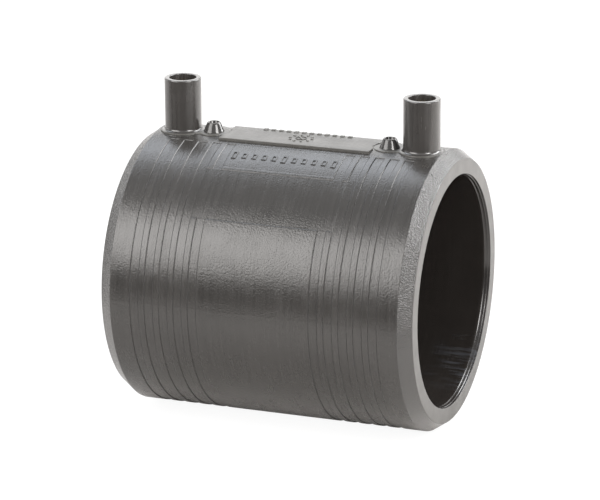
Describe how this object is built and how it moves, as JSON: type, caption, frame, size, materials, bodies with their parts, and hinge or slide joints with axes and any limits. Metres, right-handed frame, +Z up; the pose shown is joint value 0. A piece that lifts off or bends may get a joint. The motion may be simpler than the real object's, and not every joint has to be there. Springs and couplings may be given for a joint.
{
  "type": "electrofusion coupler",
  "caption": "Black moulded sleeve that joins two plastic pipe ends by fusing, with an upright shrouded terminal and a fusion indicator near each end.",
  "frame": {"origin": "on the surface that the sleeve lies on, under the middle of its length", "axes": "X along the bore, Z up through the terminals"},
  "size_m": [0.1274, 0.111, 0.132],
  "materials": {
    "black_polyethylene": "moulded, satin, with a stippled chamfer at each end",
    "indicator_polyethylene": "moulded, dull",
    "coated_wire": "resistance wire in a thin plastic coat, wound turn against turn",
    "contact_metal": "turned, bright"
  },
  "bodies": {
    "root": {"coupler_body": "black_polyethylene", "bridge_wire": "contact_metal", "winding_left": "coated_wire", "terminal_pin_left": "contact_metal", "indicator_pin_left": "indicator_polyethylene", "winding_right": "coated_wire", "terminal_pin_right": "contact_metal", "indicator_pin_right": "indicator_polyethylene"}
  },
  "joints": []
}
